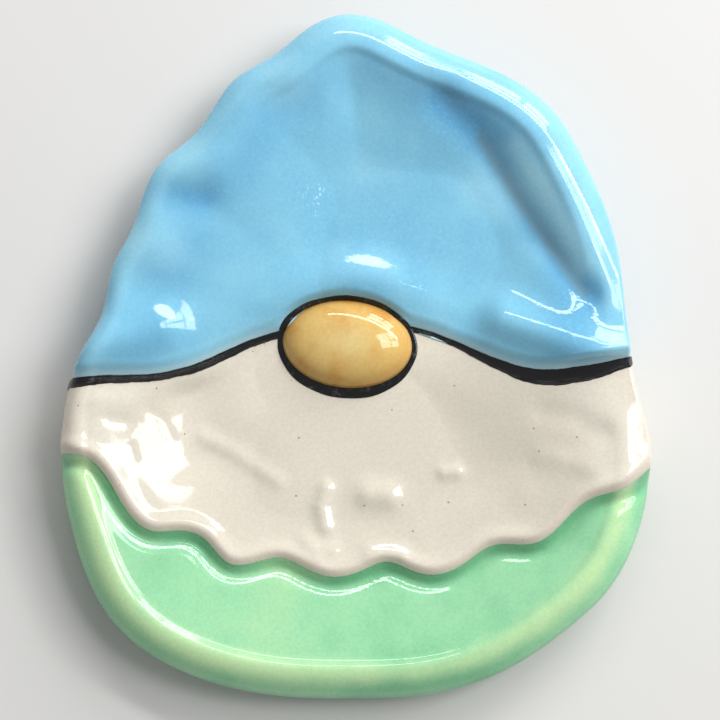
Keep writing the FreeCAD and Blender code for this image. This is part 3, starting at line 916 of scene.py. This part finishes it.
left_line_points = [
    (-66, -7.4), (-58, -7.2), (-50, -6.4), (-40, -5.6), (-33, -4), (-25, -0.4), (-17, 3), (-8, 5)]
right_line_points = [
    (6, 5), (13, 4.2), (20, 1.5), (27, -2.4), (35, -6), (42, -6.6), (49, -5.2), (56, -2.8), (66, 0)]


def brim_line(name, line_points, x_start, x_end, phase):
    """A stroke between the line through the given points and the hat's edge, from x_start to
    x_end. Both its sides are ragged by the sum of 0.09 / (1 + k) * sin(k * x + phase * j) over
    several k, and it closes to a point at each end. along is x, and across runs from 0 to 1."""
    low_edge = curve_through(line_points, 500)
    x = np.linspace(x_start, x_end, 420)
    ragged = sum(0.09 / (1 + k) * np.sin(x * k + phase * j)
                 for j, k in enumerate((0.47, 0.83, 1.37, 2.9, 4.7)))
    low = y_of(low_edge, x) + ragged
    high = y_of(hat_edge, x) + 0.25 + 0.5 * ragged
    t = np.linspace(0, 1, 19)
    y = low[:, None] + (high - low)[:, None] * t[None]
    plan = np.dstack([np.broadcast_to(x[:, None], y.shape), y])
    rings = brushed(plan, 0.30)
    middles = np.broadcast_to(rings.mean(axis=1, keepdims=True), rings.shape)
    rows = np.concatenate([middles[:1], rings, middles[-1:]])
    across = np.concatenate([t, t[::-1][1:-1]])
    along = np.concatenate([x[:1], x, x[-1:]])[:, None]
    return shell(name, rows, {"across": np.broadcast_to(across, rows.shape[:2]),
                              "along": np.broadcast_to(along, rows.shape[:2])})


# The hairs' streaks are noise drawn out along the stroke, and show towards its lower side.
STREAK_BLACK = (0.08, 0.078, 0.075, 1)
streak_material, tree = new_material("black slip brushed dry")
lengthwise = add_node(tree, "CombineXYZ", {
    0: math_node(tree, "MULTIPLY", attribute(tree, "along"), 0.10),
    1: math_node(tree, "MULTIPLY", attribute(tree, "across"), 7.0), 2: 0.0}).outputs[0]
hairs = noise(tree, lengthwise, 2.2, 3.0, 0.6)
dry = range_of(tree, attribute(tree, "across"), 0.50, 0.02)
streak = math_node(tree, "MULTIPLY", range_of(tree, hairs, 0.46, 0.70), dry)
colour = mix_colour(tree, streak, BLACK, STREAK_BLACK)
glassy_surface(tree, colour, hairs, roughness=0.15)
left_line = brim_line("brim_stroke_left", left_line_points, -61.0, -13.0, 0.4)
right_line = brim_line("brim_stroke_right", right_line_points, 10.5, 60.0, 2.1)
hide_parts("brim_line_left")
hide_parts("brim_line_right")
for piece in (left_line, right_line):
    piece.data.materials.append(streak_material)
    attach(piece, "root")

# ---------------------------------------------------------------- floor, light and camera
# A pale plain floor, soft windows of light from above, and a camera that looks almost straight
# down from a little in front of the dish.

FLOOR_HALF = 1.5
floor_mesh = bpy.data.meshes.new("floor")
floor_mesh.from_pydata([(FLOOR_HALF * i, FLOOR_HALF * j, 0)
                        for i, j in ((-1, -1), (1, -1), (1, 1), (-1, 1))], [], [(0, 1, 2, 3)])
floor = bpy.data.objects.new("floor", floor_mesh)
bpy.context.scene.collection.objects.link(floor)
floor_material, tree = new_material("floor")
floor_shader = add_node(tree, "BsdfPrincipled", {
    "Base Color": (0.74, 0.73, 0.71, 1), "Roughness": 0.9, "Specular IOR Level": 0.1})
add_node(tree, "OutputMaterial", {0: floor_shader.outputs[0]})
floor_mesh.materials.append(floor_material)


def window(name, bearing, elevation, size, power):
    """A flat soft light of the given width and height in metres, one metre from the dish's middle
    and facing it. Its direction e up and a round is (cos e * cos a, cos e * sin a, sin e)."""
    light = bpy.data.lights.new(name, "AREA")
    light.shape = "RECTANGLE"
    light.size, light.size_y = size
    light.energy = power
    a, e = math.radians(bearing), math.radians(elevation)
    lamp = bpy.data.objects.new(name, light)
    lamp.location = (math.cos(e) * math.cos(a), math.cos(e) * math.sin(a), math.sin(e))
    lamp.rotation_euler = (-lamp.location).to_track_quat("-Z", "Y").to_euler()
    bpy.context.scene.collection.objects.link(lamp)


window("long window", 62, 41, (1.45, 0.10), 5.4)
for i, j in ((-1, -1), (1, -1), (-1, 1), (1, 1)):
    window("low window", 56 + 7.4 * i, 25 + 5.8 * j, (0.21, 0.17), 1.05)
for i, j in ((-1, -1), (1, -1), (-1, 1), (1, 1)):
    window("window pane", 19 + 9.8 * i, 49 + 8.2 * j, (0.20, 0.26), 1.15)

world = bpy.data.worlds.new("room")
world.use_nodes = True
feed(world.node_tree, world.node_tree.nodes["Background"],
     {"Color": (0.97, 0.98, 1.0, 1), "Strength": 0.30})
bpy.context.scene.world = world
bpy.context.scene.view_settings.view_transform = "Standard"

camera_data = bpy.data.cameras.new("camera")
camera_data.sensor_width = 36.0
camera_data.lens = 102.5
camera = bpy.data.objects.new("camera", camera_data)
CAMERA_AWAY, CAMERA_RISE = 0.42, math.radians(86.0)
aim = Vector((0.0008, -0.0012, 0.008))
camera.location = aim + CAMERA_AWAY * Vector((0.0, -math.cos(CAMERA_RISE), math.sin(CAMERA_RISE)))
camera.rotation_euler = (aim - camera.location).to_track_quat("-Z", "Y").to_euler()
bpy.context.scene.collection.objects.link(camera)
bpy.context.scene.camera = camera
